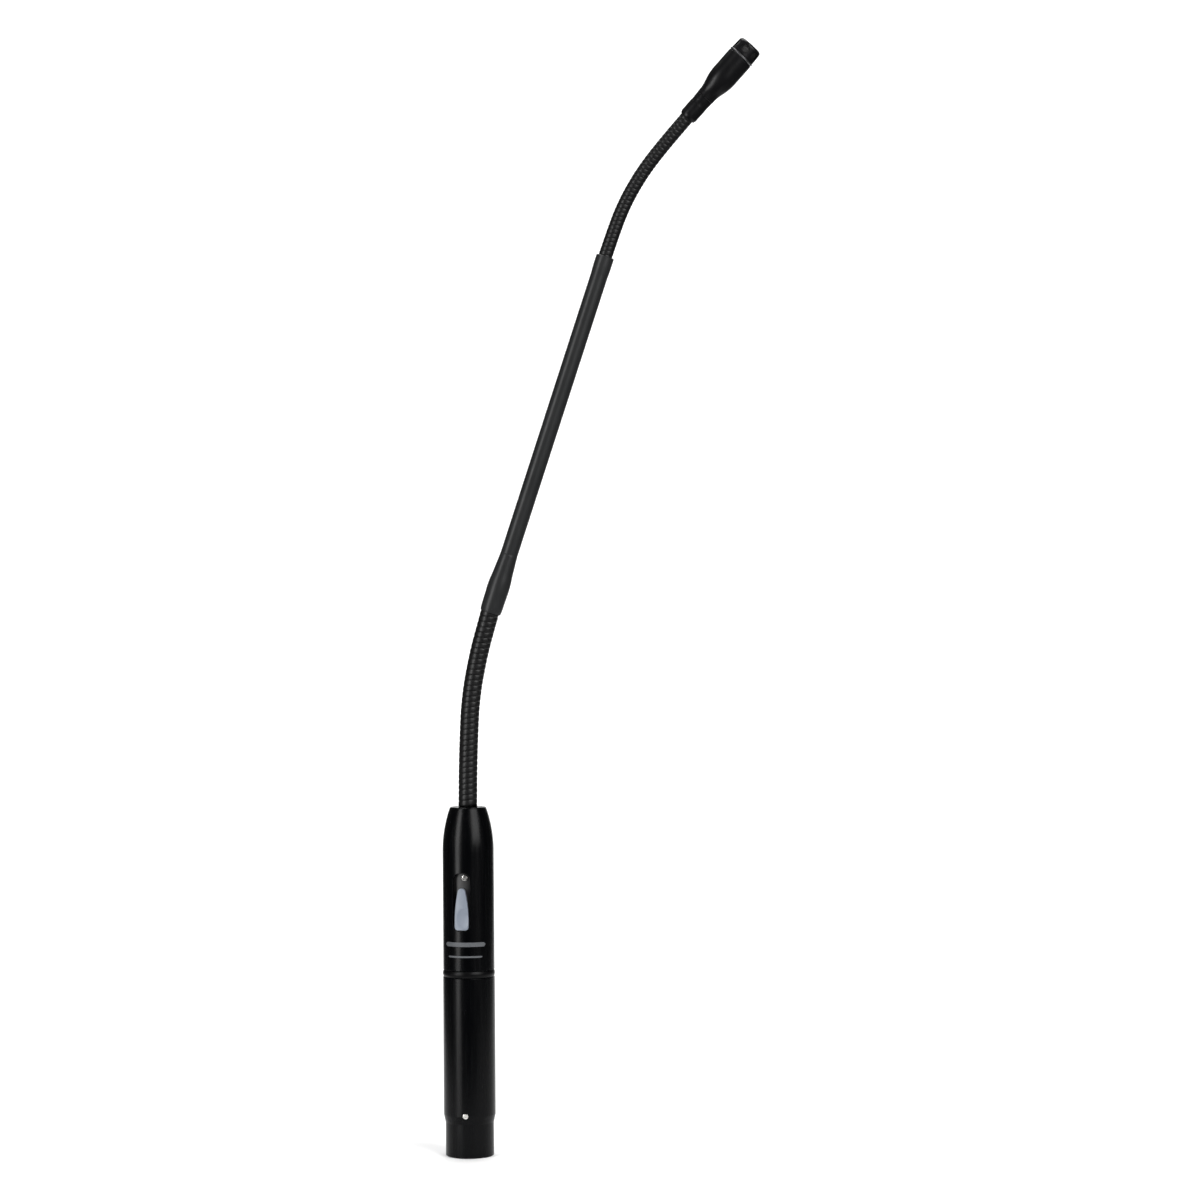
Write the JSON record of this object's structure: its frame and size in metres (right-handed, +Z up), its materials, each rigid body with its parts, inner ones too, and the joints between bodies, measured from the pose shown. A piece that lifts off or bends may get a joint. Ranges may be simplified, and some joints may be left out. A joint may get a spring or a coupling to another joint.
{
  "type": "gooseneck podium microphone",
  "caption": "Slim condenser podium microphone: plug-in tubular housing with slide switch, two flexible goosenecks joined by a rigid tube, small slotted head.",
  "frame": {"origin": "centre of the connector shell's open rim, at the bottom", "axes": "+Z up the housing, out of the socket it plugs into; -Y is the switch side; +X is the side the neck leans to"},
  "size_m": [0.1272, 0.0205, 0.4367],
  "materials": {
    "housing_black": "satin black",
    "neck_black": "satin black ribs",
    "tube_black": "satin black",
    "head_black": "satin black",
    "seam_dark": "matt black ring",
    "nickel": "bright nickel",
    "contact_gold": "gold-plated",
    "insert_plastic": "matt black",
    "thumb_grey": "satin blue-grey",
    "board_green": "solder-mask green",
    "component_black": "matt black",
    "capacitor_sleeve": "dark blue sleeve",
    "resistor_blue": "pale blue",
    "post_brass": "turned brass",
    "wire_sleeve": "black jacket",
    "capsule_aluminium": "satin",
    "gasket_rubber": "matt",
    "steel": "plain",
    "mesh_black": "fine black mesh",
    "diaphragm_film": "metallised film"
  },
  "bodies": {
    "housing": {"connector_barrel": "housing_black", "connector_insert": "insert_plastic", "contact_pins": "contact_gold", "insert_screw": "nickel", "ground_clip": "contact_gold", "seam_ring": "seam_dark", "upper_barrel": "housing_black", "circuit_board": "board_green", "board_capacitors": "capacitor_sleeve", "board_transistors": "component_black", "board_resistors": "resistor_blue", "board_post": "post_brass", "board_screw": "nickel", "switch_body": "component_black", "switch_frame": "component_black", "output_wires": "wire_sleeve", "housing_cable": "wire_sleeve", "neck_gland": "housing_black", "gland_washer": "steel", "gland_nut": "post_brass", "lower_neck_01": "neck_black"},
    "switch": {"switch_thumb": "thumb_grey", "switch_carriage": "component_black"},
    "lower_link_02": {"lower_neck_02": "neck_black"},
    "lower_link_03": {"lower_neck_03": "neck_black"},
    "lower_link_04": {"lower_neck_04": "neck_black"},
    "lower_link_05": {"lower_neck_05": "neck_black"},
    "lower_link_06": {"lower_neck_06": "neck_black"},
    "lower_link_07": {"lower_neck_07": "neck_black"},
    "lower_link_08": {"lower_neck_08": "neck_black"},
    "lower_link_09": {"lower_neck_09": "neck_black"},
    "tube": {"lower_neck_10": "neck_black", "lower_coupling": "tube_black", "rigid_tube": "tube_black", "tube_cable": "wire_sleeve", "upper_coupling": "tube_black", "upper_neck_01": "neck_black"},
    "upper_link_02": {"upper_neck_02": "neck_black"},
    "upper_link_03": {"upper_neck_03": "neck_black"},
    "upper_link_04": {"upper_neck_04": "neck_black"},
    "upper_link_05": {"upper_neck_05": "neck_black"},
    "upper_link_06": {"upper_neck_06": "neck_black"},
    "upper_link_07": {"upper_neck_07": "neck_black"},
    "upper_link_08": {"upper_neck_08": "neck_black"},
    "upper_link_09": {"upper_neck_09": "neck_black"},
    "head": {"upper_neck_10": "neck_black", "head_ferrule": "head_black", "capsule_housing": "head_black", "head_cable": "wire_sleeve", "head_board": "board_green", "capsule_gasket": "gasket_rubber", "capsule_can": "capsule_aluminium", "backplate": "post_brass", "diaphragm": "diaphragm_film", "diaphragm_ring": "capsule_aluminium", "grille_ring": "steel", "front_grille": "head_black", "grille_mesh": "mesh_black"}
  },
  "joints": [
    {"name": "lower_bend", "type": "hinge", "parent": "housing", "child": "lower_link_02", "pos_m": [0.00001, 0, 0.14151], "axis": [0, 1, 0], "range_deg": [-14, 8]},
    {"name": "lower_side", "type": "hinge", "parent": "lower_link_02", "child": "lower_link_03", "pos_m": [0.00013, 0, 0.15012], "axis": [0.9998, 0, -0.02], "range_deg": [-12, 12]},
    {"name": "lower_bend_2", "type": "hinge", "parent": "lower_link_03", "child": "lower_link_04", "pos_m": [0.00036, 0, 0.15872], "axis": [0, 1, 0], "range_deg": [-14, 8]},
    {"name": "lower_side_2", "type": "hinge", "parent": "lower_link_04", "child": "lower_link_05", "pos_m": [0.0007, 0, 0.16733], "axis": [0.9989, 0, -0.0467], "range_deg": [-12, 12]},
    {"name": "lower_bend_3", "type": "hinge", "parent": "lower_link_05", "child": "lower_link_06", "pos_m": [0.00119, 0, 0.17592], "axis": [0, 1, 0], "range_deg": [-14, 8]},
    {"name": "lower_side_3", "type": "hinge", "parent": "lower_link_06", "child": "lower_link_07", "pos_m": [0.00222, 0, 0.18447], "axis": [0.9875, 0, -0.1576], "range_deg": [-12, 12]},
    {"name": "lower_bend_4", "type": "hinge", "parent": "lower_link_07", "child": "lower_link_08", "pos_m": [0.00379, 0, 0.19294], "axis": [0, 1, 0], "range_deg": [-14, 8]},
    {"name": "lower_side_4", "type": "hinge", "parent": "lower_link_08", "child": "lower_link_09", "pos_m": [0.00576, 0, 0.20132], "axis": [0.9681, 0, -0.2506], "range_deg": [-12, 12]},
    {"name": "lower_bend_5", "type": "hinge", "parent": "lower_link_09", "child": "tube", "pos_m": [0.00811, 0, 0.2096], "axis": [0, 1, 0], "range_deg": [-14, 8]},
    {"name": "upper_bend", "type": "hinge", "parent": "tube", "child": "upper_link_02", "pos_m": [0.05711, 0, 0.35615], "axis": [0, 1, 0], "range_deg": [-18, 11]},
    {"name": "upper_side", "type": "hinge", "parent": "upper_link_02", "child": "upper_link_03", "pos_m": [0.05946, 0, 0.36278], "axis": [0.939, 0, -0.3438], "range_deg": [-16, 16]},
    {"name": "upper_bend_2", "type": "hinge", "parent": "upper_link_03", "child": "upper_link_04", "pos_m": [0.06202, 0, 0.36933], "axis": [0, 1, 0], "range_deg": [-18, 11]},
    {"name": "upper_side_2", "type": "hinge", "parent": "upper_link_04", "child": "upper_link_05", "pos_m": [0.06507, 0, 0.37567], "axis": [0.8837, 0, -0.4681], "range_deg": [-16, 16]},
    {"name": "upper_bend_3", "type": "hinge", "parent": "upper_link_05", "child": "upper_link_06", "pos_m": [0.0686, 0, 0.38175], "axis": [0, 1, 0], "range_deg": [-18, 11]},
    {"name": "upper_side_3", "type": "hinge", "parent": "upper_link_06", "child": "upper_link_07", "pos_m": [0.07256, 0, 0.38756], "axis": [0.8061, 0, -0.5918], "range_deg": [-16, 16]},
    {"name": "upper_bend_4", "type": "hinge", "parent": "upper_link_07", "child": "upper_link_08", "pos_m": [0.07691, 0, 0.39308], "axis": [0, 1, 0], "range_deg": [-18, 11]},
    {"name": "upper_side_4", "type": "hinge", "parent": "upper_link_08", "child": "upper_link_09", "pos_m": [0.08146, 0, 0.39844], "axis": [0.7561, 0, -0.6545], "range_deg": [-16, 16]},
    {"name": "upper_bend_5", "type": "hinge", "parent": "upper_link_09", "child": "head", "pos_m": [0.08611, 0, 0.40372], "axis": [0, 1, 0], "range_deg": [-18, 11]},
    {"name": "switch_slide", "type": "slide", "parent": "housing", "child": "switch", "axis": [0, 0, 1], "range_m": [0, 0.0018]}
  ],
  "couplings": [
    {"joint": "lower_bend_2", "follows": "lower_bend", "ratio": 1},
    {"joint": "lower_side_2", "follows": "lower_side", "ratio": 1},
    {"joint": "lower_bend_3", "follows": "lower_bend", "ratio": 1},
    {"joint": "lower_side_3", "follows": "lower_side", "ratio": 1},
    {"joint": "lower_bend_4", "follows": "lower_bend", "ratio": 1},
    {"joint": "lower_side_4", "follows": "lower_side", "ratio": 1},
    {"joint": "lower_bend_5", "follows": "lower_bend", "ratio": 1},
    {"joint": "upper_bend_2", "follows": "upper_bend", "ratio": 1},
    {"joint": "upper_side_2", "follows": "upper_side", "ratio": 1},
    {"joint": "upper_bend_3", "follows": "upper_bend", "ratio": 1},
    {"joint": "upper_side_3", "follows": "upper_side", "ratio": 1},
    {"joint": "upper_bend_4", "follows": "upper_bend", "ratio": 1},
    {"joint": "upper_side_4", "follows": "upper_side", "ratio": 1},
    {"joint": "upper_bend_5", "follows": "upper_bend", "ratio": 1}
  ]
}
